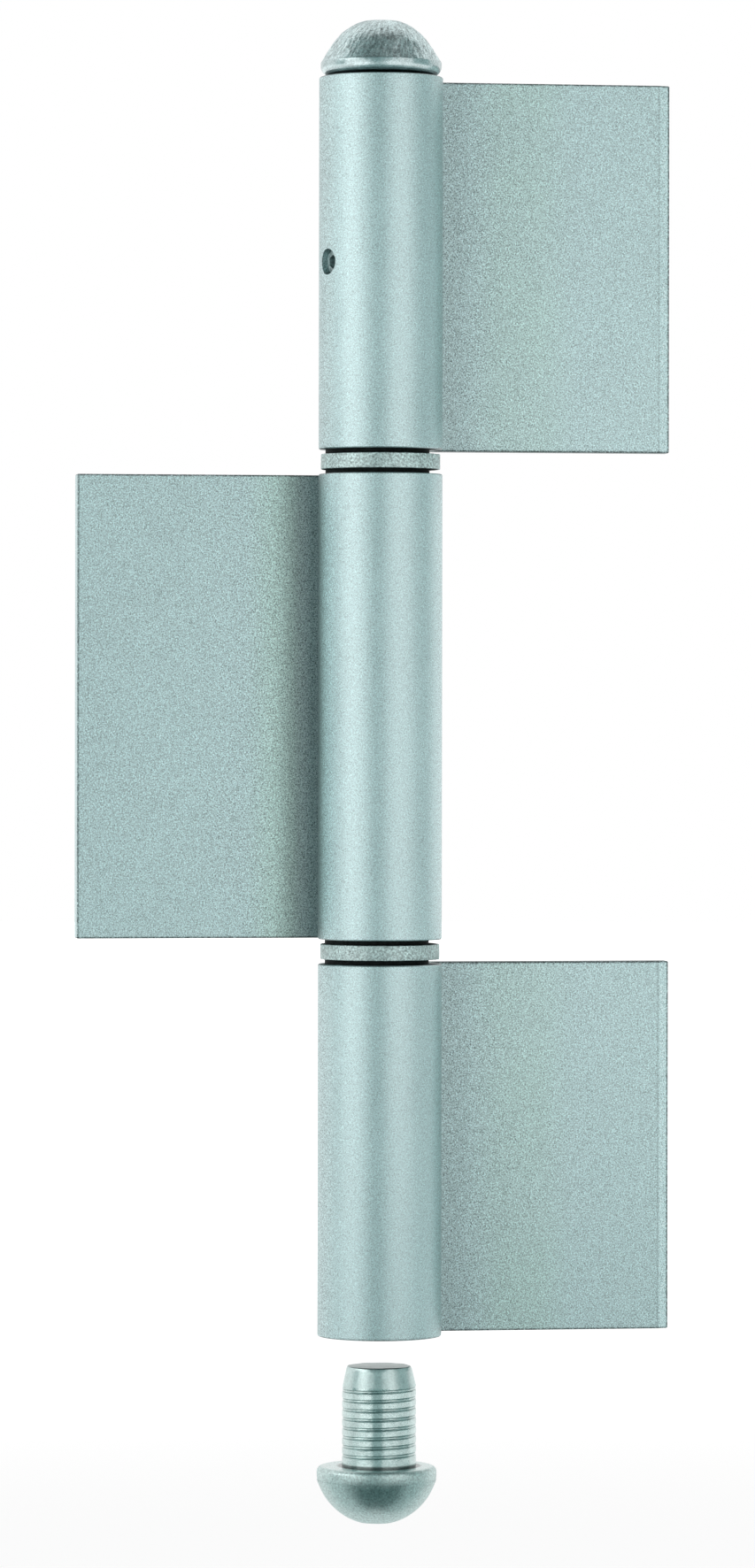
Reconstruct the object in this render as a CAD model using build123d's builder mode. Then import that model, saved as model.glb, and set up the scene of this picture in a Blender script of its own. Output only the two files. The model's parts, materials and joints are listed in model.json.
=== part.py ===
import os
from math import acos, atan2, cos, hypot, radians, sin, sqrt

from build123d import *

# Three-leaf weld-on hinge, in millimetres.
# +Z runs up the pin, the frame leaves point to +X, the door leaf to -X, and the weld faces look to +Y.
# The origin is on the pin's axis, half way up the whole object with its closing plug drawn out.

# Driving dimensions of the rolled leaves
barrel_d = 20.0
sheet = 4.0
bore_reaming = 0.05
leaf_reach = 48.5
frame_knuckle = 60.0
door_knuckle = 75.0
ring_space = 4.0
weld_bevel_width = 1.5
weld_bevel_depth = 0.6
edge_break = 0.15
mouth_break = 0.4
seam_gap = 0.25
seam_angle = 60.0

# Driving dimensions of the pin and its head
pin_head_height = 9.0
pin_pole_cut = 0.3
pin_dome_inset = 0.5
pin_rim_inset = 0.2
pin_rim_height = 2.1
pin_rim_break = 0.4
pin_rim_round = 1.5
pin_land_width = 1.7
pin_land_height = 0.3
pin_tip_break = 1.0

# Driving dimensions of the bearing rings
ring_inset = 0.35
ring_land_width = 1.7
ring_land_height = 0.7
ring_edge_break = 0.1

# Driving dimensions of the locking screw
screw_d = 4.1
screw_turn = 67.0
screw_sunk = 1.0
screw_point_d = 2.6
screw_seat_depth = 1.0
screw_socket = 2.0
screw_socket_depth = 1.6
screw_edge_break = 0.25

# Driving dimensions of the closing plug
plug_shank = 16.2
plug_head_height = 9.1
plug_pole_cut = 0.4
plug_rim_inset = 0.3
plug_rim_ease = 2.0
plug_rim_round = 0.9
plug_tip_inset = 0.8
plug_tip_break = 0.25
plug_taper = 3.5
groove_pitch = 1.5
groove_depth = 0.3
groove_mouth = 0.5
last_groove_height = 1.9
plug_tip_room = 1.8
plug_drawn_out = 21.0

# Clearances
running_gap = 0.05
ring_side_gap = 0.08
ring_end_gap = 0.05
screw_gap = 0.05

# Radii that follow from the driving dimensions
barrel_r = barrel_d / 2
leaf_front = barrel_r - sheet
bore_r = leaf_front + bore_reaming
pin_r = bore_r - running_gap
pin_land_r = pin_r + pin_land_width
pin_dome_r = barrel_r - pin_dome_inset
pin_rim_r = barrel_r - pin_rim_inset
plug_rim_r = barrel_r - plug_rim_inset
ring_r = barrel_r - ring_inset
ring_bore_r = pin_r + ring_side_gap
ring_land_r = ring_bore_r + ring_land_width
screw_r = screw_d / 2
screw_point_r = screw_point_d / 2

# Heights along the pin, from the head's pole down to the plug's
whole = (
    pin_head_height
    + pin_land_height
    + 2 * frame_knuckle
    + door_knuckle
    + 2 * ring_space
    + plug_drawn_out
    + plug_head_height
)
pin_pole = whole / 2
pin_head_face = pin_pole - pin_head_height
upper_top = pin_head_face - pin_land_height
upper_bottom = upper_top - frame_knuckle
door_top = upper_bottom - ring_space
door_bottom = door_top - door_knuckle
lower_top = door_bottom - ring_space
lower_bottom = lower_top - frame_knuckle
pin_tip = lower_bottom + plug_shank + plug_tip_room
plug_face = lower_bottom - plug_drawn_out
plug_tip = plug_face + plug_shank
plug_pole = plug_face - plug_head_height

# The flank of the pin's head leaves its dome on a tangent and runs out to the top of the rim
pin_dome_middle = pin_pole + pin_pole_cut - pin_dome_r
pin_rim_top = pin_head_face + pin_rim_height
flank_turn = acos(pin_dome_r / hypot(pin_rim_r, pin_rim_top - pin_dome_middle))
flank_angle = atan2(pin_rim_top - pin_dome_middle, pin_rim_r) + flank_turn
flank_r = pin_dome_r * cos(flank_angle)
flank_top = pin_dome_middle + pin_dome_r * sin(flank_angle)

# The plug's dome meets the upright rim of its head here
plug_dome_middle = plug_pole - plug_pole_cut + barrel_r
plug_rim_bottom = plug_dome_middle - sqrt(barrel_r**2 - plug_rim_r**2)

# The sides on which the leaves stand
frame_side = 1
door_side = -1

# The locking screw's axis leaves the pin half way up the top knuckle
screw_plane = Plane(
    origin=(0, 0, (upper_top + upper_bottom) / 2),
    x_dir=(0, 0, 1),
    z_dir=(-sin(radians(screw_turn)), -cos(radians(screw_turn)), 0),
)
screw_seat = pin_r - screw_seat_depth
screw_shoulder = pin_r + screw_gap
screw_mouth = barrel_r - screw_sunk

# As many grooves as the plug's straight shank has room for
groove_count = 1 + int((plug_shank - plug_taper - last_groove_height) / groove_pitch)
groove_middle = plug_face + last_groove_height + groove_pitch * (groove_count - 1) / 2


def add_rolled_blank(side, bottom, length, bevel_width, bevel_depth):
    """Adds a knuckle and its leaf, flush at the back, with their outer edges broken."""
    with BuildSketch(Plane.XY.offset(bottom)) as outline:
        Circle(barrel_r)
        with BuildLine():
            Polyline(
                (0, leaf_front),
                (side * (leaf_reach - bevel_width), leaf_front),
                (side * leaf_reach, leaf_front + bevel_depth),
                (side * leaf_reach, barrel_r - edge_break),
                (side * (leaf_reach - edge_break), barrel_r),
                (0, barrel_r),
                close=True,
            )
        make_face()
    extrude(outline.sketch, amount=length)
    chamfer(faces().filter_by(Axis.Z).edges(), edge_break)


def cut_bore(bottom, length):
    """Cuts the pin's bore, with a broken edge at each mouth."""
    with BuildSketch(Plane.XY.offset(bottom)) as bore:
        Circle(bore_r)
    extrude(bore.sketch, amount=length, mode=Mode.SUBTRACT)
    wall = faces().filter_by(GeomType.CYLINDER).sort_by(SortBy.RADIUS)[0]
    chamfer(wall.edges().filter_by(GeomType.CIRCLE), mouth_break)


def cut_seam(side, bottom, length):
    """Cuts the thin gap where the rolled strip comes back to the front of its own leaf."""
    strip_end = leaf_front - seam_gap
    corner_x = side * bore_r * cos(radians(seam_angle))
    corner_y = bore_r * sin(radians(seam_angle))
    with BuildSketch(Plane.XY.offset(bottom)) as seam:
        with BuildLine():
            Polyline(
                (0, corner_y),
                (corner_x, corner_y),
                (corner_x * strip_end / corner_y, strip_end),
                (side * barrel_r, strip_end),
                (side * barrel_r, leaf_front),
                (0, leaf_front),
                close=True,
            )
        make_face()
    extrude(seam.sketch, amount=length, mode=Mode.SUBTRACT)


def roll_leaf(side, bottom, length, bevel_width, bevel_depth):
    """Makes a strip rolled into a knuckle round the pin, with a flat leaf on one side."""
    add_rolled_blank(side, bottom, length, bevel_width, bevel_depth)
    cut_bore(bottom, length)
    cut_seam(side, bottom, length)


def cap_radius(sphere_r, depth):
    """Gives the radius of the flat that a cut at this depth leaves on a sphere."""
    return sqrt(depth * (2 * sphere_r - depth))


def rim_corner(end):
    """Finds the low, 0, or high, -1, of the active half section's corners furthest from the axis."""
    return vertices().group_by(Axis.X)[-1].sort_by(Axis.Y)[end]


def end_corner(end):
    """Finds the outer corner at the low end, 0, or the high end, -1, of the active half section."""
    return vertices().group_by(Axis.Y)[end].sort_by(Axis.X)[-1]


os.makedirs("parts", exist_ok=True)

# Top frame leaf, with the locking screw's hole through the knuckle's wall
with BuildPart() as upper_leaf:
    roll_leaf(frame_side, upper_bottom, frame_knuckle, weld_bevel_width, weld_bevel_depth)
    with BuildSketch(screw_plane):
        Circle(screw_r + screw_gap)
    extrude(amount=barrel_d, mode=Mode.SUBTRACT)
upper_leaf.part.label = "upper_leaf"
export_step(upper_leaf.part, "parts/upper_leaf.step")

# Door leaf, longer, with plain edges
with BuildPart() as door_leaf:
    roll_leaf(door_side, door_bottom, door_knuckle, edge_break, edge_break)
door_leaf.part.label = "door_leaf"
export_step(door_leaf.part, "parts/door_leaf.step")

# Bottom frame leaf
with BuildPart() as lower_leaf:
    roll_leaf(frame_side, lower_bottom, frame_knuckle, weld_bevel_width, weld_bevel_depth)
lower_leaf.part.label = "lower_leaf"
export_step(lower_leaf.part, "parts/lower_leaf.step")

# Pin with a forged round head, a low land under it and the locking screw's seat
with BuildPart() as hinge_pin:
    with BuildSketch(Plane.XZ):
        with BuildLine():
            pin_outline = Polyline(
                (cap_radius(pin_dome_r, pin_pole_cut), pin_pole),
                (0, pin_pole),
                (0, pin_tip),
                (pin_r, pin_tip),
                (pin_r, upper_top),
                (pin_land_r, upper_top),
                (pin_land_r, pin_head_face),
                (pin_rim_r, pin_head_face),
                (pin_rim_r, pin_rim_top),
                (flank_r, flank_top),
            )
            RadiusArc(pin_outline @ 1, pin_outline @ 0, -pin_dome_r)
        make_face()
        fillet(rim_corner(0), pin_rim_round)
        fillet(rim_corner(-1), pin_rim_break)
        chamfer(end_corner(0), pin_tip_break)
    revolve(axis=Axis.Z)
    with BuildSketch(screw_plane.offset(screw_seat)):
        Circle(screw_point_r + screw_gap)
    extrude(amount=2 * screw_seat_depth, mode=Mode.SUBTRACT)
hinge_pin.part.label = "hinge_pin"
export_step(hinge_pin.part, "parts/hinge_pin.step")

# Bearing rings, each with a raised land on both faces
for ring_name, ring_bottom in (
    ("upper_ring", door_top + ring_end_gap),
    ("lower_ring", lower_top + ring_end_gap),
):
    ring_height = ring_space - 2 * ring_end_gap
    with BuildPart() as bearing_ring:
        with BuildSketch(Plane.XY.offset(ring_bottom + ring_land_height)):
            Circle(ring_r)
        extrude(amount=ring_height - 2 * ring_land_height)
        chamfer(edges().filter_by(GeomType.CIRCLE), ring_edge_break)
        with BuildSketch(Plane.XY.offset(ring_bottom)):
            Circle(ring_land_r)
        extrude(amount=ring_height)
        with BuildSketch(Plane.XY.offset(ring_bottom)):
            Circle(ring_bore_r)
        extrude(amount=ring_height, mode=Mode.SUBTRACT)
    bearing_ring.part.label = ring_name
    export_step(bearing_ring.part, f"parts/{ring_name}.step")

# Locking screw, with a plain point that stands in the pin's seat and a hexagon socket
with BuildPart() as locking_screw:
    with BuildSketch(screw_plane.offset(screw_shoulder)):
        Circle(screw_r)
    extrude(amount=screw_mouth - screw_shoulder)
    chamfer(edges().filter_by(GeomType.CIRCLE), screw_edge_break)
    with BuildSketch(screw_plane.offset(screw_seat + screw_gap)):
        Circle(screw_point_r)
    extrude(amount=screw_shoulder - screw_seat)
    with BuildSketch(screw_plane.offset(screw_mouth)):
        RegularPolygon(screw_socket / 2, 6, major_radius=False)
    extrude(amount=-screw_socket_depth, mode=Mode.SUBTRACT)
locking_screw.part.label = "locking_screw"
export_step(locking_screw.part, "parts/locking_screw.step")

# Closing plug: a round head, a shank with ring grooves that grips the bore, and a tapered tip
with BuildPart() as closing_plug:
    with BuildSketch(Plane.XZ):
        with BuildLine():
            plug_outline = Polyline(
                (cap_radius(barrel_r, plug_pole_cut), plug_pole),
                (0, plug_pole),
                (0, plug_tip),
                (pin_r - plug_tip_inset, plug_tip),
                (pin_r, plug_tip - plug_taper),
                (pin_r, plug_face),
                (plug_rim_r, plug_face),
                (plug_rim_r, plug_rim_bottom),
            )
            RadiusArc(plug_outline @ 1, plug_outline @ 0, barrel_r)
        make_face()
        fillet(rim_corner(-1), plug_rim_round)
        fillet(rim_corner(0), plug_rim_ease)
        chamfer(end_corner(-1), plug_tip_break)
        with Locations((pin_r, groove_middle)):
            with GridLocations(0, groove_pitch, 1, groove_count):
                Polygon(
                    (0, groove_mouth / 2),
                    (-groove_depth, 0),
                    (0, -groove_mouth / 2),
                    align=None,
                    mode=Mode.SUBTRACT,
                )
    revolve(axis=Axis.Z)
closing_plug.part.label = "closing_plug"
export_step(closing_plug.part, "parts/closing_plug.step")
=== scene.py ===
"""Gives a three-leaf weld-on hinge its galvanised finishes and a plain studio.

Lengths are in metres. +Z runs up the pin, the frame leaves point to +X and the door leaf to -X.
"""

import json
from math import acos, asin, atan2, cos, exp, hypot, log, pi, radians, sin, sqrt, tan

import bmesh
import bpy
from bpy.props import FloatProperty, FloatVectorProperty, PointerProperty
from bpy.types import Operator, Panel, PropertyGroup
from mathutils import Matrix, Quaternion, Vector, noise


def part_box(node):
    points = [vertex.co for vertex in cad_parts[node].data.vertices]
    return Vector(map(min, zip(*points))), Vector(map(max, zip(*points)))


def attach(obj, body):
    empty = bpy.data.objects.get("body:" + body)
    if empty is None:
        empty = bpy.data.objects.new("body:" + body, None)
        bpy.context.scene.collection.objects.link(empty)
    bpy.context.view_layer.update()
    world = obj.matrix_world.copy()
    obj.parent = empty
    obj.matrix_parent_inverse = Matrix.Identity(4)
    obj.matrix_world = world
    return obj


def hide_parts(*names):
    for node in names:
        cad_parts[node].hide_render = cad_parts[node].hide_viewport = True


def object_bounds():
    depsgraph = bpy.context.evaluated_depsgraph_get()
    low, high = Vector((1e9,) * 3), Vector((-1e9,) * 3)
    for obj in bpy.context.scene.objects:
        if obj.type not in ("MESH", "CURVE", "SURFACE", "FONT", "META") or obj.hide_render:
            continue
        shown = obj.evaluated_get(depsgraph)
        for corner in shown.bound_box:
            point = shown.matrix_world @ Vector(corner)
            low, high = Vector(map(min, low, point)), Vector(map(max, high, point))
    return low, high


bl_info = {
    "name": "Weld-on Hinge Finishes",
    "version": (1, 0, 0),
    "blender": (4, 5, 0),
    "location": "3D View > Sidebar > Hinge",
    "description": "Galvanised finishes and a plain studio for a three-leaf weld-on hinge",
    "category": "Object",
}

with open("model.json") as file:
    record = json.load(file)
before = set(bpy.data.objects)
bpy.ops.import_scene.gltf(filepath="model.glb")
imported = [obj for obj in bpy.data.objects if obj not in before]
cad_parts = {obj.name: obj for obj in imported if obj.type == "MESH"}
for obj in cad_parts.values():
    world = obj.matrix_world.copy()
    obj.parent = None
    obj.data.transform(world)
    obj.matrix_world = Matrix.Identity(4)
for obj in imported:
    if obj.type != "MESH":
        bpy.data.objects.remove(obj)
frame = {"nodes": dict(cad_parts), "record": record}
cad_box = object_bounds()

MM = 0.001

# Places that follow from the frame
LEAVES = ("upper_leaf", "door_leaf", "lower_leaf")
LEAF_ENDS = [corner.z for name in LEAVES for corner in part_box(name)]
LEAF_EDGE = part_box("upper_leaf")[1].x
BARREL_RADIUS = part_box("upper_leaf")[1].y
DOOR_LOW, DOOR_HIGH = (corner.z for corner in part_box("door_leaf"))
DOOR_MIDDLE = (DOOR_LOW + DOOR_HIGH) / 2
DOOR_REACH = (DOOR_HIGH - DOOR_LOW) / 2
LOWER_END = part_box("lower_leaf")[0].z
PIN_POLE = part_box("hinge_pin")[1].z
PLUG_POLE, PLUG_TIP = (corner.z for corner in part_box("closing_plug"))

# The photograph's frame, and where the hinge stands in it
PHOTO_WIDTH = 853
PHOTO_HEIGHT = 1772
AXIS_COLUMN = 429.5
HORIZON_ROW = 800
FULL_SENSOR = 36.0
CAMERA_TURN = radians(8)

# The pin: its forged head from the pole down, its shank, and the head's neck inside the shank
PIN_DOME = 9.5 * MM
PIN_POLE_CUT = 0.3 * MM
PIN_POLE_EASE = 0.14 * MM
PIN_RIM = 9.8 * MM
PIN_RIM_HEIGHT = 2.1 * MM
PIN_RIM_BREAK = 0.25 * MM
PIN_RIM_ROUND = 1.5 * MM
HEAD_HEIGHT = 9 * MM
LAND_RADIUS = 7.7 * MM
LAND_HEIGHT = 0.3 * MM
HEAD_FACE = PIN_POLE - HEAD_HEIGHT
RIM_TOP = HEAD_FACE + PIN_RIM_HEIGHT
LAND_FACE = HEAD_FACE - LAND_HEIGHT
PIN_RADIUS = 6 * MM
SHANK_GAP = 0.1 * MM
NECK_RADIUS = 5.5 * MM
NECK_DEPTH = 0.5 * MM
POLE_STEPS = 24

# The forging streaks: how close they lie round the pin and down the head, and how far they lean
STREAKS = (22, 6)
FINE_STREAKS = (48, 13)
FINE_SEED = 7
STREAK_LEAN = 0.3
STREAK_WIDTH = 0.045
STREAK_LENGTH = 0.32

# The bearing rings, whose lands stand a little to the door leaf's side
RING_BORE = 6.08 * MM
RING_LAND = 8.4 * MM
RING_RADIUS = 9.65 * MM
RING_LAND_HEIGHT = 0.7 * MM
RING_BREAK = 0.1 * MM
LAND_OFFSET = 0.5 * MM
LAND_MARGIN = 0.3 * MM
RING_STEP = 0.16 * MM

# How a ring is worn: the sizes of its roughness and dents, and each part's share of the wear's depth
ROUGH_SIZE = 0.9 * MM
DENT_SIZE = 3 * MM
DENT_SEED = 4
ROUGH_SHARE = 0.35
DENT_DEPTH_SHARE = 0.6
EDGE_SHARE = 0.6
EDGE_START = 0.75

# The closing plug
SHANK_RADIUS = 6 * MM
SHANK_LENGTH = 16.2 * MM
PLUG_FACE = PLUG_TIP - SHANK_LENGTH
PLUG_DOME = 10 * MM
PLUG_POLE_CUT = 0.4 * MM
PLUG_RIM = 9.7 * MM
PLUG_RIM_ROUND = 0.9 * MM
PLUG_RIM_EASE = 6 * MM
RIM_EASE_TURN = 0.03
HEAD_OFFSET = 0.4 * MM
OFFSET_REACH = 2 * MM
OFFSET_DEPTH = 0.2 * MM
TIP_INSET = 0.8 * MM
TIP_FLAT_INSET = 0.6 * MM
TIP_ROUND = 0.35 * MM
TAPER = 3.5 * MM
SHOULDER = PLUG_TIP - TAPER
SHOULDER_ROOM = 0.05 * MM
NOOK_ROOM = 0.1 * MM
GROOVE_PITCH = 1.5 * MM
LAST_GROOVE = 1.9 * MM
GROOVES = 8
GROOVE_REACH = 0.6 * MM

# A groove's places along the plug and its depths there in millimetres, with a fine ridge in its middle
GROOVE_SHAPE = ((-0.42, 0.0), (-0.34, 0.0), (-0.28, 0.05), (-0.2, 0.19), (-0.12, 0.1), (0.0, 0.08),
                (0.12, 0.1), (0.2, 0.19), (0.28, 0.05), (0.34, 0.0), (0.42, 0.0))

# How much the ribs rise to one side, and how the rise comes in below the tip and above the head
RIB_SLOPE = 0.03
SLOPE_START = 2 * MM
SLOPE_END = 3 * MM
LEVEL_TIP = 0.5 * MM

# The plug's skin: how deep and wide its unevenness is on the shank, the head and the sheared tip
SHANK_SKIN = (0.012 * MM, 0.9 * MM)
HEAD_SKIN = (0.02 * MM, 1.6 * MM)
TIP_HEIGHT = 0.3 * MM
TIP_DENT_SIZE = 2.2 * MM
TIP_MIDDLE = 0.4

# How finely the pieces are turned, and the angle from which an edge is sharp
SEGMENTS = 288
STEP = 0.2 * MM
SHARP = radians(38)

# A length too small to see
HAIR = 0.01 * MM

# The places of a Mix node's sockets for colours, which share their names with other sockets
MIX_FACTOR = 0
MIX_FIRST = 6
MIX_SECOND = 7
MIX_RESULT = 2

# The bands over which the leaves' marks fade in: across the leaf, through its sheet and along the pin
FLAT_BAND = (BARREL_RADIUS - 2.5 * MM, BARREL_RADIUS + 0.3 * MM)
BESIDE_BARREL = (BARREL_RADIUS + 22 * MM, BARREL_RADIUS)
CORNER_REACH = (BARREL_RADIUS + 7.5 * MM, BARREL_RADIUS + 2 * MM)
BEVEL_BAND = (LEAF_EDGE - 1.7 * MM, LEAF_EDGE - 1.4 * MM)
BEVEL_CREASE = LEAF_EDGE - 1.8 * MM
CREASE_WIDTH = 0.2 * MM
OUTER_EDGE = (LEAF_EDGE - 0.4 * MM, LEAF_EDGE - 0.15 * MM)
DOOR_SIDE = (0.5 * MM, -0.5 * MM)
FRONT_BAND = (8.5 * MM, 7 * MM)
CORNER_DEPTH = (-5.5 * MM, 0.5 * MM)
DOOR_BAND = (DOOR_REACH + 0.5 * MM, DOOR_REACH)
LEAF_END = (0.4 * MM, 0.12 * MM)
BARREL_FOOT = (LOWER_END + 0.4 * MM, LOWER_END + 0.15 * MM)
FACING = (0.6, 0.9)

# The leaves' zinc: the sizes of its specks, in grains, and clouds, and how strong each mark is
SPECK_SIZE = 1.6
SPECK_BAND = (0.62, 0.76)
SPECK_SHADE = 0.22
SPECKS_FAR = 0.4
CLOUD_SIZE = 14 * MM
CLOUD_SWING = 0.2
KNUCKLE_GRAIN = 0.5
LEAF_GRAIN = 0.8
NEAR_GRAIN = 1.35
KNUCKLE_LIGHT = 1.03
LEAF_LIGHT = 0.99
# a painted highlight on the bevel, and painted shade in the crease at its inner edge
BEVEL_HIGHLIGHT = 0.2
CREASE_SHADE = 0.2
# painted shade beside the barrel on the frame leaves
NEAR_SHADE = 0.12
# painted shade in the corners between the knuckles and the leaves
DOOR_CORNER_SHADE = 0.48
FRAME_CORNER_SHADE = 0.1
# painted shade on the faces that look up or down, the ends of the knuckles and leaves
ENDS_SHADE = 0.35
# a burr along the leaves' edges and the barrel's foot, partly painted shade
FOOT_BURR_SHADE = 0.6
BURR_SHADE_GAPS = (0.3, 0.6)
THIN_BURR_SHADE = 0.25
THICK_BURR_SHADE = 0.8
DARKEST_BURR_SHADE = 0.8

# A faint greenish stain: its tint, and where it lies on a frame leaf and on the door leaf
STAIN_TINT = (0.97, 1, 0.94, 1)
CLOUDLESS_STAIN = 0.1
FRAME_STAIN = ((14 * MM, 22 * MM), (34 * MM, 26 * MM))
DOOR_STAIN = ((11 * MM, 14 * MM), (22 * MM, 16 * MM))

# The slant that the leaves' grain is turned by, so that no face cuts its noise along a grid
GRAIN_AXIS = (0.3, 0.5, 0.81)
GRAIN_TURN = 0.9

# The pin's zinc: painted shade under the head, grainier on the dome than on the rim, and streaked on
# its flank
FORGED_GRAIN_SIZE = 0.3 * MM
FORGED_PATCH_SIZE = 2.2 * MM
UNDER_HEAD = (HEAD_FACE + 0.35 * MM, HEAD_FACE - 0.05 * MM)
UNDER_SHADE = 0.9
DOME_BAND = (RIM_TOP - 0.1 * MM, RIM_TOP + 0.3 * MM)
FLANK_BAND = (MM, 6.5 * MM)
POLE_STREAKS = 0.25
STREAK_SWING = 2.0
RIM_GRAIN = 1.2
DOME_GRAIN = 2.4
FORGED_PATCH_SWING = 0.4
RIM_LIGHT = 0.86
RIM_ROUGHNESS = 0.25

# The rings' zinc, with painted shade on their lands and in their bores, which sit in the gaps beside
# the knuckles
WORN_GRAIN_SIZE = 0.34 * MM
WORN_PATCH_SIZE = 2.6 * MM
SHADED_LAND_BAND = (RING_RADIUS - 0.12 * MM, RING_RADIUS - 0.6 * MM)
LAND_GAP_SHADE = 0.96
LAND_GAP_ROUGHNESS = 0.2
WORN_GRAIN = 2.0
PATCHY_GRAIN = 2.4
WORN_PATCH_SWING = 0.6

# The locking screw's steel
STEEL_GRAIN_SIZE = 0.4 * MM
STEEL_GRAIN = 2.2

# The plug's zinc: satin on the shank, painted shade in the grooves and in the nook, dull on the sheared
# tip
PLUG_GRAIN_SIZE = 0.3 * MM
PLUG_PATCH_SIZE = 1.5 * MM
SHANK_BAND = (PLUG_FACE - 0.15 * MM, PLUG_FACE + 0.05 * MM)
SHEARED_BAND = (PLUG_TIP - 0.22 * MM, PLUG_TIP - 0.12 * MM)
SHEARED_SHADE = 0.38
NOOK_REACH = (SHANK_RADIUS + 1.1 * MM, SHANK_RADIUS + 0.4 * MM)
NOOK_TOP = (PLUG_FACE + 0.6 * MM, PLUG_FACE + 0.25 * MM)
NOOK_BOTTOM = (PLUG_FACE - MM, PLUG_FACE - 0.2 * MM)
NOOK_SHADE = 0.75
BELOW_TAPER = (SHOULDER + 0.4 * MM, SHOULDER)
TAPER_BAND = (SHOULDER, SHOULDER + 0.5 * MM)
GROOVE_BAND = (SHANK_RADIUS - 0.06 * MM, SHANK_RADIUS - 0.16 * MM)
GROOVE_SHADE = 0.22
HEAD_GRAIN = 1.7
SHANK_GRAIN = 0.7
HEAD_PATCH_SWING = 0.15
SHANK_PATCH_SWING = 0.5
TAPER_ROUGHNESS = 0.12

# The forged skin of the pin's head: where it starts, its dents, and each part's share of its depth
SKIN_START = 0.05 * MM
SKIN_FADE = MM
RIM_DENT_SIZE = 1.4 * MM
RIM_DEPTH = 0.5
CROWN_DENT_SIZE = 2.6 * MM
CROWN_DEPTH = 0.5
STREAK_SHARE = 0.45
FINE_STREAK_SHARE = 0.5
DENT_SHARE = 0.3
STREAKLESS_POLE = 3.5 * MM
CROWN_FADE = 0.6 * MM

# The stage: how wide its floor is, where the lamps and cards stand, and how light the world is
FLOOR_RADIUS = 4.0
FLOOR_FADE = (0.25, 1.2)
FLOOR_WHITE = 0.6
PAPER = (0.8, 0.8, 0.8)
WHITE = (1, 1, 1)
LAMP_DISTANCE = 0.9
WALL = 1.2
CEILING = 2.4
SILL = 0.33
CARD_STEP = radians(10)
CARD_COOLNESS = 1.4
WORLD_LEVEL = 0.45



# What the settings of one kind share
COLOUR = {"subtype": "COLOR", "size": 3, "min": 0, "max": 1}
FACTOR = {"subtype": "FACTOR", "min": 0, "max": 1}
LENGTH = {"subtype": "DISTANCE", "unit": "LENGTH"}
TURN = {"subtype": "ANGLE", "unit": "ROTATION"}


class LeafFinish(PropertyGroup):
    """Sandy galvanised finish of the three rolled leaves"""

    colour: FloatVectorProperty(
        name="Zinc colour",
        description="Colour of the zinc on the leaves",
        default=(0.545, 0.675, 0.68),
        **COLOUR,
    )
    roughness: FloatProperty(
        name="Roughness",
        description="How widely the leaves scatter a reflection",
        default=0.45,
        **FACTOR,
    )
    grain_size: FloatProperty(
        name="Grain size",
        description="Width of the sandy grains in the zinc",
        default=0.18 * MM,
        **LENGTH,
    )
    grain_contrast: FloatProperty(
        name="Grain contrast",
        description="How much lighter and darker than the zinc its grains are",
        subtype="FACTOR",
        min=0,
        max=4,
        default=2.8,
    )
    grain_depth: FloatProperty(
        name="Grain depth",
        description="Height of the sandy grains in the zinc",
        default=0.02 * MM,
        **LENGTH,
    )


class PinFinish(PropertyGroup):
    """Galvanised skin of the forged pin"""

    colour: FloatVectorProperty(
        name="Zinc colour",
        description="Colour of the zinc on the pin",
        default=(0.565, 0.68, 0.685),
        **COLOUR,
    )
    roughness: FloatProperty(
        name="Roughness",
        description="How widely the pin's head scatters a reflection",
        default=0.37,
        **FACTOR,
    )
    streak_depth: FloatProperty(
        name="Streak depth",
        description="Depth of the forging streaks that run down the head",
        default=0.11 * MM,
        **LENGTH,
    )


class RingFinish(PropertyGroup):
    """Worn zinc of the bearing rings"""

    colour: FloatVectorProperty(
        name="Zinc colour",
        description="Colour of the zinc on the rings",
        default=(0.5, 0.6, 0.59),
        **COLOUR,
    )
    roughness: FloatProperty(
        name="Roughness",
        description="How widely the rings scatter a reflection",
        default=0.52,
        **FACTOR,
    )
    wear_depth: FloatProperty(
        name="Wear depth",
        description="How deep the dents and worn edges of a ring go",
        default=0.09 * MM,
        **LENGTH,
    )


class ScrewFinish(PropertyGroup):
    """Dark plain steel of the locking screw"""

    colour: FloatVectorProperty(
        name="Steel colour",
        description="Colour of the locking screw",
        default=(0.38, 0.47, 0.47),
        **COLOUR,
    )
    roughness: FloatProperty(
        name="Roughness",
        description="How widely the screw scatters a reflection",
        default=0.5,
        **FACTOR,
    )


class PlugFinish(PropertyGroup):
    """Satin shank and matt head of the closing plug"""

    colour: FloatVectorProperty(
        name="Zinc colour",
        description="Colour of the zinc on the plug",
        default=(0.55, 0.67, 0.655),
        **COLOUR,
    )
    shank_roughness: FloatProperty(
        name="Shank roughness",
        description="How widely the ribbed shank scatters a reflection",
        default=0.2,
        **FACTOR,
    )
    head_roughness: FloatProperty(
        name="Head roughness",
        description="How widely the round head scatters a reflection",
        default=0.42,
        **FACTOR,
    )
    tip_depth: FloatProperty(
        name="Tip depth",
        description="How uneven the sheared tip is",
        default=0.12 * MM,
        **LENGTH,
    )


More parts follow.
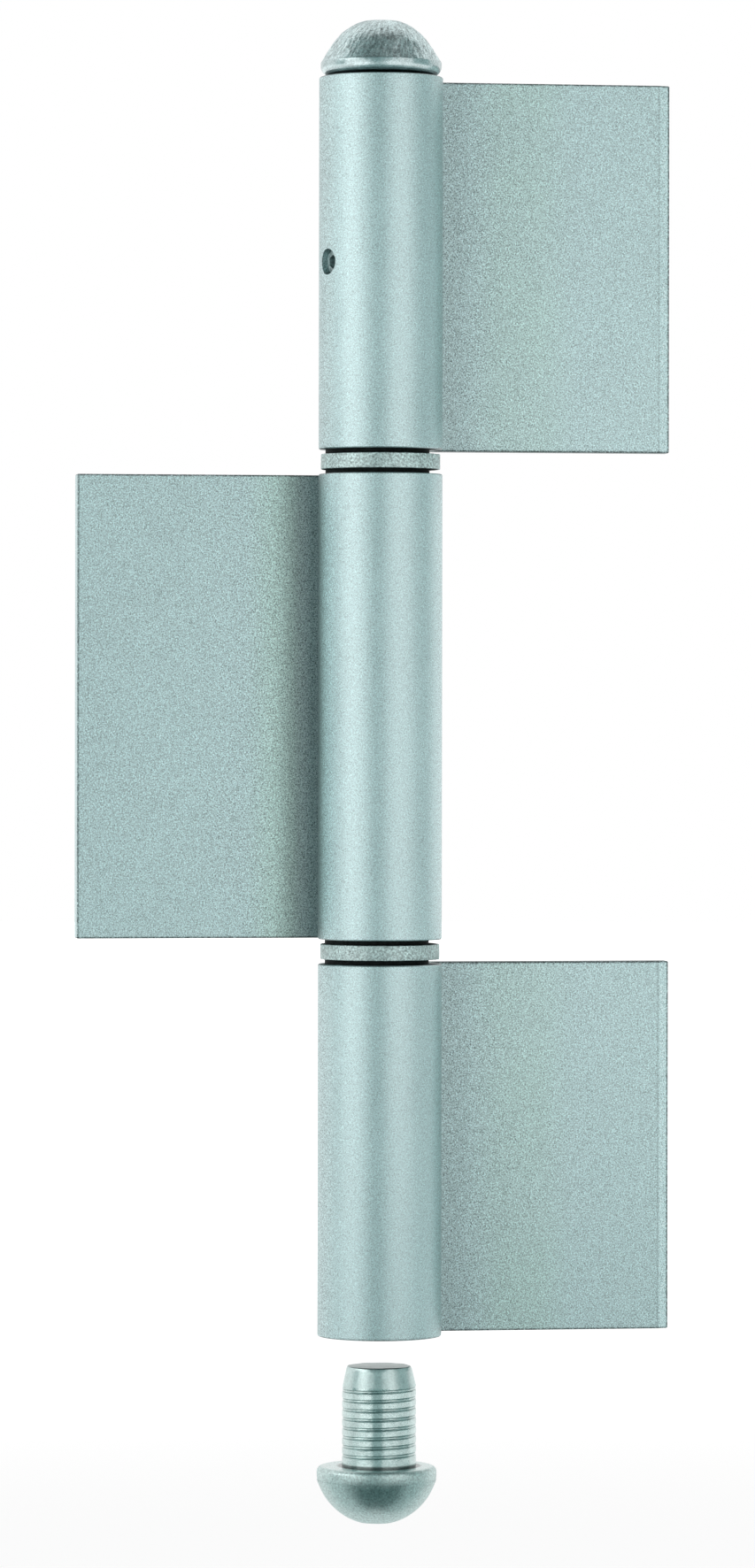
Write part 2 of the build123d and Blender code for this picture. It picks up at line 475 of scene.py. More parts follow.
class StudioSettings(PropertyGroup):
    """Floor, lamps, cards and camera"""

    floor_drop: FloatProperty(
        name="Floor drop",
        description="Height of the hinge above the floor, as its mount holds it",
        default=35 * MM,
        **LENGTH,
    )
    camera_turn: FloatProperty(
        name="Camera turn",
        description="How far the camera stands to the door leaf's side",
        default=CAMERA_TURN,
        **TURN,
    )
    camera_distance: FloatProperty(
        name="Camera distance",
        description="Distance from the camera to the pin's axis",
        default=1.05,
        **LENGTH,
    )
    camera_roll: FloatProperty(
        name="Camera roll",
        description="How far the camera leans to its left",
        default=radians(0.09),
        **TURN,
    )
    eye_height: FloatProperty(
        name="Eye height",
        description="Height of the camera above the hinge's middle",
        default=10.2 * MM,
        **LENGTH,
    )
    pixels_per_metre: FloatProperty(
        name="Scale",
        description="Pixels of the photograph to a metre at the pin's axis",
        default=7000,
    )
    left_lamp: FloatProperty(
        name="Left lamp",
        description="Brightness of the left softbox, where 1 is white",
        default=0.25,
    )
    right_lamp: FloatProperty(
        name="Right lamp",
        description="Brightness of the right softbox, where 1 is white",
        default=0.3,
    )


class Value:
    """A node's output that takes part in Python sums."""

    def __init__(self, board, socket):
        self.board = board
        self.socket = socket

    def sum_with(self, operation, first, second):
        return self.board.add("ShaderNodeMath", {"operation": operation}, {0: first, 1: second})

    def __add__(self, other):
        return self.sum_with("ADD", self, other)

    def __radd__(self, other):
        return self.sum_with("ADD", other, self)

    def __sub__(self, other):
        return self.sum_with("SUBTRACT", self, other)

    def __rsub__(self, other):
        return self.sum_with("SUBTRACT", other, self)

    def __mul__(self, other):
        return self.sum_with("MULTIPLY", self, other)

    def __rmul__(self, other):
        return self.sum_with("MULTIPLY", other, self)

    def __truediv__(self, other):
        return self.sum_with("DIVIDE", self, other)

    def __rtruediv__(self, other):
        return self.sum_with("DIVIDE", other, self)


class Board:
    """A node tree that nodes are added to, one call for each."""

    def __init__(self, tree):
        self.tree = tree
        tree.nodes.clear()

    def add(self, kind, settings=None, inputs=None, output=0):
        """Adds a node, sets it up, fills its inputs and returns one of its outputs."""
        node = self.tree.nodes.new(kind)
        for name, value in (settings or {}).items():
            setattr(node, name, value)
        for key, value in (inputs or {}).items():
            if isinstance(value, Value):
                self.tree.links.new(value.socket, node.inputs[key])
            else:
                node.inputs[key].default_value = value
        return Value(self, node.outputs[output]) if node.outputs else node

    def place(self):
        """The point's place in the hinge's frame."""
        return self.add("ShaderNodeTexCoord", output="Object")

    def facing(self):
        """The direction that the surface faces, in the hinge's frame."""
        return self.add("ShaderNodeTexCoord", output="Normal")

    def split(self, vector):
        """The three parts of a vector."""
        parts = self.add("ShaderNodeSeparateXYZ", inputs={0: vector})
        return [Value(self, socket) for socket in parts.socket.node.outputs]

    def length(self, vector):
        """How long a vector is."""
        return self.add("ShaderNodeVectorMath", {"operation": "LENGTH"}, {0: vector}, output="Value")

    def outward(self, place):
        """The level vector from the pin's axis to a place."""
        return self.add("ShaderNodeVectorMath", {"operation": "MULTIPLY"}, {0: place, 1: (1, 1, 0)})

    def radius(self, place):
        """How far a place is from the pin's axis."""
        return self.length(self.outward(place))

    def swirled(self, place, height):
        """A place as a turn round the pin and a fall from the pole, so that noise runs in streaks."""
        fall = (PIN_POLE - height) / PIN_DOME
        turned = self.add(
            "ShaderNodeVectorRotate",
            {"rotation_type": "Z_AXIS"},
            {"Vector": self.outward(place), "Angle": fall * STREAK_LEAN},
        )
        around = self.add("ShaderNodeVectorMath", {"operation": "NORMALIZE"}, {0: turned})
        x, y = self.split(around)[:2]
        return self.add("ShaderNodeCombineXYZ", inputs={"X": x, "Y": y, "Z": fall * STREAK_LENGTH})

    def slanted(self, place):
        """A place turned by the slant of the leaves' grain."""
        return self.add(
            "ShaderNodeVectorRotate",
            {"rotation_type": "AXIS_ANGLE"},
            {"Vector": place, "Axis": GRAIN_AXIS, "Angle": GRAIN_TURN},
        )

    def absolute(self, value):
        """A value without its sign."""
        return self.add("ShaderNodeMath", {"operation": "ABSOLUTE"}, {0: value})

    def least(self, value, limit):
        """A value that is cut off at a limit."""
        return self.add("ShaderNodeMath", {"operation": "MINIMUM"}, {0: value, 1: limit})

    def scaled(self, colour, light):
        """A colour made lighter or darker from point to point."""
        return self.add("ShaderNodeVectorMath", {"operation": "SCALE"}, {0: colour, "Scale": light})

    def noise(self, vector, size, detail=2.0, roughness=0.5):
        """Clouds from 0 to 1 whose features are as wide as size."""
        return self.add(
            "ShaderNodeTexNoise",
            inputs={"Vector": vector, "Scale": 1 / size, "Detail": detail, "Roughness": roughness},
        )

    def ramp(self, value, band, start=0.0, end=1.0):
        """A smooth step from start to end while a value crosses a band, up or down."""
        return self.add(
            "ShaderNodeMapRange",
            {"interpolation_type": "SMOOTHSTEP"},
            {"Value": value, "From Min": band[0], "From Max": band[1], "To Min": start, "To Max": end},
        )

    def stained(self, factor, colour, stain):
        """A colour seen through a stain."""
        return self.add(
            "ShaderNodeMix",
            {"data_type": "RGBA", "blend_type": "MULTIPLY"},
            {MIX_FACTOR: factor, MIX_FIRST: colour, MIX_SECOND: stain},
            output=MIX_RESULT,
        )

    def bump(self, height, depth):
        """Tilts the surface as a relief of this depth would."""
        return self.add(
            "ShaderNodeBump", inputs={"Strength": 1.0, "Distance": depth, "Height": height}
        )


def rgba(colour):
    """A colour with its alpha."""
    return (*colour, 1.0)


def card_colour(level):
    """A card's colour, cooler the darker it is."""
    level = min(1.0, level)
    return rgba((level ** CARD_COOLNESS, level, level))


def new_material(name):
    """Makes an empty material and returns it with its board."""
    material = bpy.data.materials.new(name)
    material.use_nodes = True
    return material, Board(material.node_tree)


def swing(grain, share):
    """Noise as a swing to both sides of 0, as wide as share."""
    return (grain - 0.5) * share


def dimmed(light, mark, share=1.0):
    """Light that a mark takes a share of."""
    return light * (1 - mark * share)


def between(mark, without, within):
    """A value that is one number where there is no mark and another within it."""
    return without + mark * (within - without)


def metal(board, colour, roughness, normal):
    """Ends a board in a metal surface."""
    surface = board.add(
        "ShaderNodeBsdfPrincipled",
        inputs={"Base Color": colour, "Metallic": 1.0, "Roughness": roughness, "Normal": normal},
    )
    board.add("ShaderNodeOutputMaterial", inputs={"Surface": surface})


def burr_and_edge_shade(board, reach, z, flat):
    """A dark burr along the sheared edges of the leaves and the foot of the barrel, partly a real burr
    and partly painted shade along those edges.
    """
    edge = board.ramp(reach, OUTER_EDGE)
    for end in LEAF_ENDS:
        edge = edge + board.ramp(board.absolute(z - end), LEAF_END)
    foot = (1 - flat) * board.ramp(z, BARREL_FOOT)
    return edge * flat + foot * FOOT_BURR_SHADE


def painted_corner_shade(board, x, y, on_door):
    """Painted shade in the corner between a knuckle and its leaf, mostly on the door leaf, where the
    barrel shades it.
    """
    door_side = board.ramp(x, DOOR_SIDE)
    door_corner = on_door * door_side * DOOR_CORNER_SHADE
    frame_corner = (1 - on_door) * (1 - door_side) * FRAME_CORNER_SHADE
    inward = board.ramp(board.absolute(x), CORNER_REACH)
    between_faces = board.ramp(y, CORNER_DEPTH) * board.ramp(y, FRONT_BAND)
    return inward * between_faces * (door_corner + frame_corner)


def faint_stain(board, reach, cloud, on_door):
    """The stain on the frame leaves' middle and near the door leaf's corner."""
    frame_stain, door_stain = (
        board.ramp(reach, start) * board.ramp(reach, end) for start, end in (FRAME_STAIN, DOOR_STAIN)
    )
    return frame_stain * (cloud + CLOUDLESS_STAIN) * (1 - on_door) + door_stain * on_door


def sandy_zinc(finish):
    """Matt galvanised steel with a fine sandy grain, for the leaves."""
    material, board = new_material("sandy_zinc_on_leaf")
    place = board.place()
    x, y, z = board.split(place)
    facing = board.split(board.facing())
    slanted = board.slanted(place)
    grain = board.noise(slanted, finish.grain_size, detail=1.0)
    speck = board.noise(slanted, SPECK_SIZE * finish.grain_size, detail=1.0)
    cloud = board.noise(place, CLOUD_SIZE, detail=3.0)

    # where on the leaf a point is
    reach = board.absolute(x)
    on_door = board.ramp(board.absolute(z - DOOR_MIDDLE), DOOR_BAND)
    flat = board.ramp(reach, FLAT_BAND)
    front = board.ramp(y, FRONT_BAND)
    near = board.ramp(reach, BESIDE_BARREL) * flat * front
    bevel = board.ramp(x, BEVEL_BAND)
    crease = board.ramp(board.absolute(x - BEVEL_CREASE), (CREASE_WIDTH, 0.0))
    end_face = board.ramp(board.absolute(facing[0]), FACING)
    shaded_ends = board.ramp(board.absolute(facing[2]), FACING)

    # the grain is stronger on the flat than on the knuckles, and strongest beside the barrel
    flat_grain = between(flat, KNUCKLE_GRAIN, LEAF_GRAIN)
    contrast = finish.grain_contrast * flat_grain * between(near, 1.0, NEAR_GRAIN)
    light = 1.0 + swing(grain, contrast) + swing(cloud, CLOUD_SWING)
    light = light - board.ramp(speck, SPECK_BAND) * SPECK_SHADE * flat * (SPECKS_FAR + near)
    plain = between(flat, KNUCKLE_LIGHT, LEAF_LIGHT)
    # a painted highlight on the bevel and painted shade in the crease at its inner edge
    light = light * (plain + bevel * BEVEL_HIGHLIGHT - crease * CREASE_SHADE)
    # painted shade beside the barrel on the frame leaves
    light = dimmed(light, near * (1 - on_door), NEAR_SHADE)
    # painted shade in the corner between the knuckle and the leaf
    light = dimmed(light, painted_corner_shade(board, x, y, on_door))
    # painted shade on the faces that look up or down, the ends of the knuckles and leaves
    light = dimmed(light, shaded_ends, ENDS_SHADE)
    # the burr, partly painted shade along the edges, broken up by the specks
    thickness = board.ramp(speck, BURR_SHADE_GAPS, THIN_BURR_SHADE, THICK_BURR_SHADE)
    burr_and_shade = burr_and_edge_shade(board, reach, z, flat) * (1 - end_face) * thickness
    light = dimmed(light, board.least(burr_and_shade, DARKEST_BURR_SHADE))
    stain = faint_stain(board, reach, cloud, on_door) * flat * front
    colour = board.stained(stain, board.scaled(finish.colour, light), STAIN_TINT)
    roughness = finish.roughness + swing(cloud, share=0.1) + swing(grain, share=0.2)
    metal(board, colour, roughness, board.bump(grain, finish.grain_depth))
    return material


def forged_zinc(finish):
    """Galvanised steel over a forged skin, with painted shade under the head."""
    material, board = new_material("forged_zinc_on_pin")
    place = board.place()
    height = board.split(place)[2]
    grain = board.noise(place, FORGED_GRAIN_SIZE, detail=3.0, roughness=0.65)
    patch = board.noise(place, FORGED_PATCH_SIZE)
    streak = board.noise(board.swirled(place, height), STREAK_WIDTH)
    dome = board.ramp(height, DOME_BAND)
    flank = dome * board.ramp(board.radius(place), FLANK_BAND, POLE_STREAKS)
    light = 1.0 + swing(grain, between(dome, RIM_GRAIN, DOME_GRAIN))
    light = light + swing(patch, FORGED_PATCH_SWING) + swing(streak, STREAK_SWING) * flank
    # painted shade under the head, where it meets the barrel
    light = dimmed(light, board.ramp(height, UNDER_HEAD), UNDER_SHADE)
    light = light * between(dome, RIM_LIGHT, 1.0)
    roughness = between(dome, RIM_ROUGHNESS, finish.roughness) + swing(patch, share=0.15)
    normal = board.bump(grain, depth=0.014 * MM)
    metal(board, board.scaled(finish.colour, light), roughness, normal)
    return material


def worn_zinc(finish):
    """Worn and uneven zinc, for the rings, with painted shade on their lands, which sit in the gaps."""
    material, board = new_material("worn_zinc_on_rings")
    place = board.place()
    grain = board.noise(place, WORN_GRAIN_SIZE, detail=3.0, roughness=0.7)
    patch = board.noise(place, WORN_PATCH_SIZE)
    shaded_land = board.ramp(board.radius(place), SHADED_LAND_BAND)
    light = 1.0 + swing(grain, WORN_GRAIN + patch * PATCHY_GRAIN) + swing(patch, WORN_PATCH_SWING)
    # painted shade on the lands and in the bore, inside the gaps beside the knuckles
    light = dimmed(light, shaded_land, LAND_GAP_SHADE)
    roughness = finish.roughness + swing(patch, share=0.3) + shaded_land * LAND_GAP_ROUGHNESS
    normal = board.bump(grain, depth=0.06 * MM)
    metal(board, board.scaled(finish.colour, light), roughness, normal)
    return material


def dark_steel(finish):
    """Plain dark steel, for the locking screw."""
    material, board = new_material("dark_steel_screw")
    grain = board.noise(board.place(), STEEL_GRAIN_SIZE, detail=3.0)
    colour = board.scaled(finish.colour, 1.0 + swing(grain, STEEL_GRAIN))
    metal(board, colour, finish.roughness, board.bump(grain, depth=0.03 * MM))
    return material


def satin_zinc(finish):
    """Satin zinc on the plug's shank, a matt skin on its head and bare sheared steel on its tip."""
    material, board = new_material("satin_zinc_on_plug")
    place = board.place()
    height = board.split(place)[2]
    radius = board.radius(place)
    grain = board.noise(place, PLUG_GRAIN_SIZE, detail=3.0, roughness=0.65)
    patch = board.noise(place, PLUG_PATCH_SIZE)
    shank = board.ramp(height, SHANK_BAND)
    sheared = board.ramp(height, SHEARED_BAND)
    nook = board.ramp(height, NOOK_TOP) * board.ramp(height, NOOK_BOTTOM)
    nook = nook * board.ramp(radius, NOOK_REACH)
    groove = shank * board.ramp(height, BELOW_TAPER) * board.ramp(radius, GROOVE_BAND)
    light = 1.0 + swing(grain, between(shank, HEAD_GRAIN, SHANK_GRAIN))
    light = light + swing(patch, between(shank, HEAD_PATCH_SWING, SHANK_PATCH_SWING))
    light = dimmed(light, sheared, SHEARED_SHADE)
    # painted shade in the nook under the head and in the grooves
    light = dimmed(light, nook, NOOK_SHADE)
    light = dimmed(light, groove, GROOVE_SHADE)
    roughness = between(shank, finish.head_roughness, finish.shank_roughness)
    roughness = roughness + swing(patch, share=0.16)
    roughness = roughness + board.ramp(height, TAPER_BAND) * TAPER_ROUGHNESS
    normal = board.bump(grain, depth=0.012 * MM)
    metal(board, board.scaled(finish.colour, light), roughness, normal)
    return material


def straight(start, end, step=STEP):
    """Points from start up to end, without end, a step apart."""
    length = (Vector(end) - Vector(start)).length
    count = max(1, round(length / step))
    return [tuple(a + (b - a) * i / count for a, b in zip(start, end)) for i in range(count)]


def through(corners, step=STEP):
    """Points along straight lines from corner to corner."""
    points = []
    for start, end in zip(corners, corners[1:]):
        points += straight(start, end, step)
    return points + [corners[-1]]


def arc(middle, radius, first, last, step=STEP):
    """Points on an arc, its angles counted from the outward direction up."""
    count = max(2, round(abs(last - first) * radius / step))
    angles = [first + (last - first) * i / count for i in range(count + 1)]
    return [(middle[0] + radius * cos(a), middle[1] + radius * sin(a)) for a in angles]


def rounded(before, corner, after, radius, step=STEP):
    """Points on the arc that rounds a corner between two neighbours."""
    corner = Vector(corner)
    back = (Vector(before) - corner).normalized()
    ahead = (Vector(after) - corner).normalized()
    half = back.angle(ahead) / 2
    middle = corner + (back + ahead).normalized() * radius / sin(half)
    first = corner + back * radius / tan(half) - middle
    turn = pi - 2 * half
    if back.cross(ahead) > 0:
        turn = -turn
    start = atan2(first.y, first.x)
    return arc(middle, radius, start, start + turn, step)


def onward(point, angle):
    """A point 1 mm further down a round that has come to this angle."""
    return (point[0] + sin(angle) * MM, point[1] - cos(angle) * MM)


def turn_mesh(outline, closed, relief):
    """Turns an outline of radii and heights round the pin and pushes a relief into its skin."""
    shape = bmesh.new()
    rows = []
    for radius, height in outline:
        count = SEGMENTS if radius > 0 else 1
        angles = [2 * pi * i / count for i in range(count)]
        rows.append([shape.verts.new((radius * cos(a), radius * sin(a), height)) for a in angles])
    pairs = list(zip(rows, rows[1:]))
    if closed:
        pairs.append((rows[-1], rows[0]))
    for upper, lower in pairs:
        for i in range(SEGMENTS):
            j = (i + 1) % SEGMENTS
            if len(upper) == 1:
                shape.faces.new((upper[0], lower[i], lower[j]))
            elif len(lower) == 1:
                shape.faces.new((upper[i], lower[0], upper[j]))
            else:
                shape.faces.new((upper[i], lower[i], lower[j], upper[j]))
    bmesh.ops.recalc_face_normals(shape, faces=shape.faces)
    shape.normal_update()
    moves = [vert.normal * relief(vert.co) for vert in shape.verts]
    for vert, move in zip(shape.verts, moves):
        vert.co -= move
    return shape


def add_object(name, data):
    """Puts a new object into the scene."""
    thing = bpy.data.objects.new(name, data)
    bpy.context.scene.collection.objects.link(thing)
    return thing


def add_piece(name, shape, node, material):
    """Makes a piece of a shape, in the place of a CAD node."""
    mesh = bpy.data.meshes.new(name)
    shape.to_mesh(mesh)
    shape.free()
    mesh.polygons.foreach_set("use_smooth", [True] * len(mesh.polygons))
    mesh.set_sharp_from_angle(angle=SHARP)
    mesh.materials.append(material)
    piece = add_object(name, mesh)
    body = next(b for b, nodes in frame["record"]["behaviour"]["bodies"].items() if node in nodes)
    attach(piece, body)
    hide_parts(node)


def clouds(place, size, seed):
    """Smooth noise from -1 to 1 with features as wide as size."""
    return noise.noise(place / size + Vector((seed, -seed, 2 * seed)))


def hills(place, size, seed):
    """Smooth noise from 0 to 1 with features as wide as size."""
    return 0.5 + 0.5 * clouds(place, size, seed)


def streaks(x, y, fall, spread, seed=0):
    """Streaks at a turn round the pin and a fall from its pole, as close as spread says."""
    around, down = spread
    return noise.noise(Vector((x * around, y * around, fall * down + seed)))


def forged_relief(depth):
    """The skin of the pin's head: a crown of streaks and dents over a calmer rim band."""

    def crown(place):
        radius = max(place.xy.length, HAIR)
        fall = (PIN_POLE - place.z) / PIN_DOME
        lean = STREAK_LEAN * fall
        x = (place.x * cos(lean) - place.y * sin(lean)) / radius
        y = (place.x * sin(lean) + place.y * cos(lean)) / radius
        streak = STREAK_SHARE * streaks(x, y, fall, STREAKS)
        fine = FINE_STREAK_SHARE * streaks(x, y, fall, FINE_STREAKS, FINE_SEED)
        fade = min(1.0, radius / STREAKLESS_POLE)
        dent = DENT_SHARE * clouds(place, CROWN_DENT_SIZE, seed=1.7)
        return depth * (CROWN_DEPTH + fade * (streak + fine) + dent)

    def relief(place):
        rise = place.z - HEAD_FACE
        if rise < SKIN_START:
            return 0.0
        dent = hills(place, RIM_DENT_SIZE, seed=3.1)
        band = RIM_DEPTH * depth * min(1.0, rise / SKIN_FADE) * dent
        over_rim = place.z - RIM_TOP + PIN_RIM_BREAK
        if over_rim < 0:
            return band
        return band + (crown(place) - band) * min(1.0, over_rim / CROWN_FADE)

    return relief


def pin_head_outline():
    """The pin's head from its pole down to its neck."""
    middle = PIN_POLE + PIN_POLE_CUT - PIN_DOME
    rise = RIM_TOP - middle
    # the flank leaves the dome on a tangent and runs out to the top of the rim
    angle = atan2(rise, PIN_RIM) + acos(PIN_DOME / hypot(PIN_RIM, rise))
    flank = (PIN_DOME * cos(angle), middle + PIN_DOME * sin(angle))
    rim_top = (PIN_RIM, RIM_TOP)
    rim_foot = (PIN_RIM, HEAD_FACE)
    points = []
    # the dome's round eases into a flatter pole
    for i in range(POLE_STEPS):
        radius = i * STEP
        above = (middle + sqrt(PIN_DOME ** 2 - radius ** 2) - PIN_POLE) / PIN_POLE_EASE
        points.append((radius, PIN_POLE - PIN_POLE_EASE * log(1 + exp(-above))))
    points += arc((0, middle), PIN_DOME, acos(POLE_STEPS * STEP / PIN_DOME), angle)
    points += straight(flank, rim_top)[1:-1]
    points += rounded(flank, rim_top, rim_foot, PIN_RIM_BREAK, step=0.05 * MM)
    points += rounded(rim_top, rim_foot, (0, HEAD_FACE), PIN_RIM_ROUND, step=0.12 * MM)
    neck_end = LAND_FACE - NECK_DEPTH
    return points + [
        (LAND_RADIUS, HEAD_FACE),
        (LAND_RADIUS, LAND_FACE),
        (NECK_RADIUS, LAND_FACE),
        (NECK_RADIUS, neck_end),
        (0, neck_end),
    ]


def cad_shank():
    """The shank of the CAD pin without its head, closed a little below the head's land."""
    shank = bmesh.new()
    shank.from_mesh(frame["nodes"]["hinge_pin"].data)
    bmesh.ops.remove_doubles(shank, verts=shank.verts, dist=0.1 * HAIR)
    head = []
    for vert in shank.verts:
        level = LAND_FACE + HAIR
        if hypot(vert.co.x, vert.co.y) > PIN_RADIUS + HAIR:
            level = LAND_FACE - HAIR
        if vert.co.z > level:
            head.append(vert)
    bmesh.ops.delete(shank, geom=head, context="VERTS")
    rim = [edge for edge in shank.edges if edge.is_boundary]
    for vert in {vert for edge in rim for vert in edge.verts}:
        vert.co.z -= SHANK_GAP
    bmesh.ops.holes_fill(shank, edges=rim)
    return shank


def forged_pin(material, finish):
    """The pin: the CAD shank under a forged head with a finer skin."""
    shape = turn_mesh(pin_head_outline(), False, forged_relief(finish.streak_depth))
    shank = cad_shank()
    mesh = bpy.data.meshes.new("shank")
    shank.to_mesh(mesh)
    shank.free()
    shape.from_mesh(mesh)
    bpy.data.meshes.remove(mesh)
    add_piece("forged_pin", shape, "hinge_pin", material)


def ring_outline(bottom, top):
    """A ring's section: a low land at each end, round a wider rim with broken edges."""
    foot = bottom + RING_LAND_HEIGHT
    head = top - RING_LAND_HEIGHT
    broken = RING_RADIUS - RING_BREAK
    corners = [
        (RING_BORE, bottom),
        (RING_LAND, bottom),
        (RING_LAND, foot),
        (broken, foot),
        (RING_RADIUS, foot + RING_BREAK),
        (RING_RADIUS, head - RING_BREAK),
        (broken, head),
        (RING_LAND, head),
        (RING_LAND, top),
        (RING_BORE, top),
    ]
    return through(corners, RING_STEP)


def worn_ring(name, node, material, finish, seed):
    """A bearing ring with an uneven rim, worn edges and its lands a little off the middle."""
    low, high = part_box(node)
    middle = (high.z + low.z) / 2
    half_rim = (high.z - low.z) / 2 - RING_LAND_HEIGHT
    rim_start = RING_LAND + LAND_MARGIN

    def relief(place):
        radius = place.xy.length
        if radius < rim_start:
            return 0.0
        depth = finish.wear_depth * min(1.0, (radius - rim_start) / MM)
        rough = hills(place, ROUGH_SIZE, seed)
        dent = max(0.0, clouds(place, DENT_SIZE, seed + DENT_SEED))
        edge = max(0.0, abs(place.z - middle) / half_rim - EDGE_START) / (1 - EDGE_START)
        return depth * (ROUGH_SHARE * rough + DENT_DEPTH_SHARE * dent + EDGE_SHARE * edge * rough)

    shape = turn_mesh(ring_outline(low.z, high.z), True, relief)
    rim_end = RING_RADIUS - LAND_MARGIN
    for vert in shape.verts:
        radius = vert.co.xy.length
        inside = (radius - RING_BORE) / (RING_LAND - RING_BORE)
        outside = (rim_end - radius) / (rim_end - RING_LAND)
        vert.co.x -= LAND_OFFSET * max(0.0, min(inside, outside, 1.0))
    add_piece(name, shape, node, material)


def groove_points():
    """The grooves from the taper down to the head, each with a fine ridge in it."""
    points = []
    for i in reversed(range(GROOVES)):
        height = PLUG_FACE + LAST_GROOVE + i * GROOVE_PITCH
        for along, depth in reversed(GROOVE_SHAPE):
            if height + along * MM < SHOULDER + SHOULDER_ROOM:
                points.append((SHANK_RADIUS - depth * MM, height + along * MM))
    return points


def plug_outline():
    """The plug from its tip down to its pole."""
    tip_corner = (SHANK_RADIUS - TIP_INSET, PLUG_TIP)
    shoulder = (SHANK_RADIUS, SHOULDER)
    flat_end = (tip_corner[0] - TIP_FLAT_INSET, PLUG_TIP)
    points = through([(0, PLUG_TIP), flat_end], step=0.35 * MM)
    points += rounded((0, PLUG_TIP), tip_corner, shoulder, TIP_ROUND, step=0.1 * MM)
    points += straight(points[-1], shoulder, step=0.25 * MM)[1:]
    points += groove_points()
    plain = (SHANK_RADIUS, PLUG_FACE + LAST_GROOVE - GROOVE_REACH)
    points += through([plain, (SHANK_RADIUS, PLUG_FACE)], step=0.3 * MM)
    # the head's face, its upright rim, and the dome that it meets
    middle = PLUG_POLE - PLUG_POLE_CUT + PLUG_DOME
    drop = asin(sqrt(1 - (PLUG_RIM / PLUG_DOME) ** 2))
    rim_low = (PLUG_RIM, middle - PLUG_DOME * sin(drop))
    rim_high = (PLUG_RIM, PLUG_FACE)
    face_start = (SHANK_RADIUS + NOOK_ROOM, PLUG_FACE)
    face_end = (PLUG_RIM - PLUG_RIM_ROUND, PLUG_FACE)
    points += through([face_start, face_end], step=0.4 * MM)[:-1]
    points += rounded((0, PLUG_FACE), rim_high, rim_low, PLUG_RIM_ROUND)
    points += rounded(rim_high, rim_low, onward(rim_low, -drop), PLUG_RIM_EASE)
    pole_cut = -asin(1 - PLUG_POLE_CUT / PLUG_DOME)
    points += arc((0, middle), PLUG_DOME, -drop - RIM_EASE_TURN, pole_cut)
    flat_radius = points.pop()[0]
    points.append((flat_radius, PLUG_POLE))
    inner_flat = (0.8 * flat_radius, PLUG_POLE)
    return points + through([inner_flat, (0, PLUG_POLE)], step=0.5 * MM)


def ribbed_plug(material, finish):
    """The closing plug with its grooves, a rough tip and a matt head, forged a little off the shank."""

    def relief(place):
        if place.z > PLUG_TIP - TIP_HEIGHT:
            share = TIP_MIDDLE + place.xy.length / SHANK_RADIUS
            return finish.tip_depth * share * hills(place, TIP_DENT_SIZE, seed=5.3)
        depth, size = SHANK_SKIN if place.z > PLUG_FACE else HEAD_SKIN
        return depth * (1 + clouds(place, size, seed=2.9))

    shape = turn_mesh(plug_outline(), False, relief)
    for vert in shape.verts:
        rise = vert.co.z - PLUG_FACE
        if rise > HAIR:
            below_tip = max(0.0, SHANK_LENGTH - rise - LEVEL_TIP)
            askew = min(1.0, rise / SLOPE_START, below_tip / SLOPE_END)
            vert.co.z += RIB_SLOPE * askew * vert.co.x
        else:
            out = (vert.co.xy.length - SHANK_RADIUS) / OFFSET_REACH
            below_face = -rise / OFFSET_DEPTH
            vert.co.x -= HEAD_OFFSET * min(1.0, max(out, below_face, 0.0))
    add_piece("ribbed_plug", shape, "closing_plug", material)


def give_finish(nodes, material):
    """Puts a material on CAD nodes."""
    for name in nodes:
        piece = frame["nodes"][name]
        piece.data.materials.clear()
        piece.data.materials.append(material)


class HINGE_OT_finish_leaves(Operator):
    """Give the three rolled leaves their sandy galvanised finish"""

    bl_idname = "hinge.finish_leaves"
    bl_label = "Finish Leaves"

    def execute(self, context):
        finish = context.scene.hinge_leaf
        give_finish(LEAVES, sandy_zinc(finish))
        return {"FINISHED"}


class HINGE_OT_finish_pin(Operator):
    """Give the pin its galvanised forged skin"""

    bl_idname = "hinge.finish_pin"
    bl_label = "Finish Pin"

    def execute(self, context):
        finish = context.scene.hinge_pin
        forged_pin(forged_zinc(finish), finish)
        return {"FINISHED"}


class HINGE_OT_finish_rings(Operator):
    """Give both bearing rings their worn zinc"""

    bl_idname = "hinge.finish_rings"
    bl_label = "Finish Rings"

    def execute(self, context):
        finish = context.scene.hinge_ring
        material = worn_zinc(finish)
        worn_ring("worn_upper_ring", "upper_ring", material, finish, seed=3.7)
        worn_ring("worn_lower_ring", "lower_ring", material, finish, seed=8.2)
        return {"FINISHED"}


class HINGE_OT_finish_screw(Operator):
    """Give the locking screw its dark steel"""

    bl_idname = "hinge.finish_screw"
    bl_label = "Finish Locking Screw"

    def execute(self, context):
        give_finish(("locking_screw",), dark_steel(context.scene.hinge_screw))
        return {"FINISHED"}


class HINGE_OT_finish_plug(Operator):
    """Give the closing plug its satin shank and matt head"""

    bl_idname = "hinge.finish_plug"
    bl_label = "Finish Closing Plug"

    def execute(self, context):
        finish = context.scene.hinge_plug
        ribbed_plug(satin_zinc(finish), finish)
        return {"FINISHED"}


def seen_by_eye(board):
    """1 for what the camera sees, straight, in a reflection or through glass, and 0 for light."""
    path = board.add("ShaderNodeLightPath")
    outputs = path.socket.node.outputs
    rays = [Value(board, outputs[f"Is {kind} Ray"]) for kind in ("Camera", "Glossy", "Transmission")]
    return board.least(rays[0] + rays[1] + rays[2], 1.0)


def from_camera_side(turn, distance, height):
    """A point at a turn from the camera's direction, positive to the camera's right."""
    angle = turn - CAMERA_TURN
    return Vector((distance * sin(angle), -distance * cos(angle), height))


